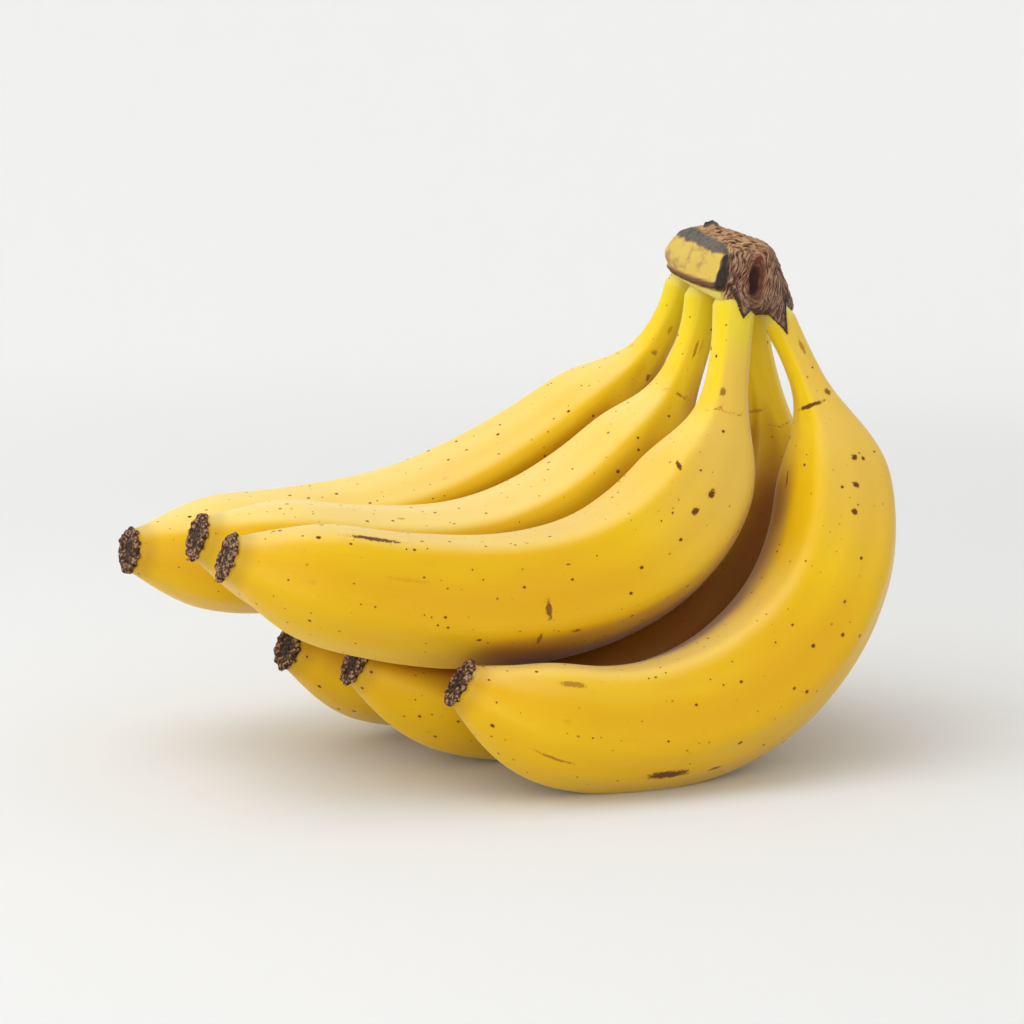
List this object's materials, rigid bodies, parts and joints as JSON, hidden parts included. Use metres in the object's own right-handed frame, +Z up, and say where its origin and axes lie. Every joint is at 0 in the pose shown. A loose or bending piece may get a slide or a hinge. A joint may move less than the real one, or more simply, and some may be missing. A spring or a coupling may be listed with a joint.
{
  "type": "hand of bananas",
  "caption": "Hand of ripe yellow bananas joined at one cut crown, its fingers curving down and sideways and resting on their bellies.",
  "frame": {"origin": "centre of the bounding box, on the surface that the hand rests on", "axes": "+Z up, +X along the longest extent, from the blossom ends towards the crown, and +Y towards the back row of fingers"},
  "size_m": [0.2105, 0.144, 0.1408],
  "materials": {
    "peel": "ripe yellow peel, waxy and softly glossy, with brown sugar spots",
    "dried_blossom_end": "shrivelled dark brown flower remnant, rough and matte",
    "cut_crown": "dried brown fibrous cut tissue with black edges and one side of yellow skin"
  },
  "bodies": {
    "root": {"crown": "cut_crown", "finger_inner_back": "peel", "finger_inner_middle": "peel", "finger_inner_front": "peel", "finger_outer_front": "peel", "finger_outer_middle": "peel", "finger_outer_back": "peel", "blossom_end_inner_back": "dried_blossom_end", "blossom_end_inner_middle": "dried_blossom_end", "blossom_end_inner_front": "dried_blossom_end", "blossom_end_outer_front": "dried_blossom_end", "blossom_end_outer_middle": "dried_blossom_end", "blossom_end_outer_back": "dried_blossom_end"}
  },
  "joints": []
}
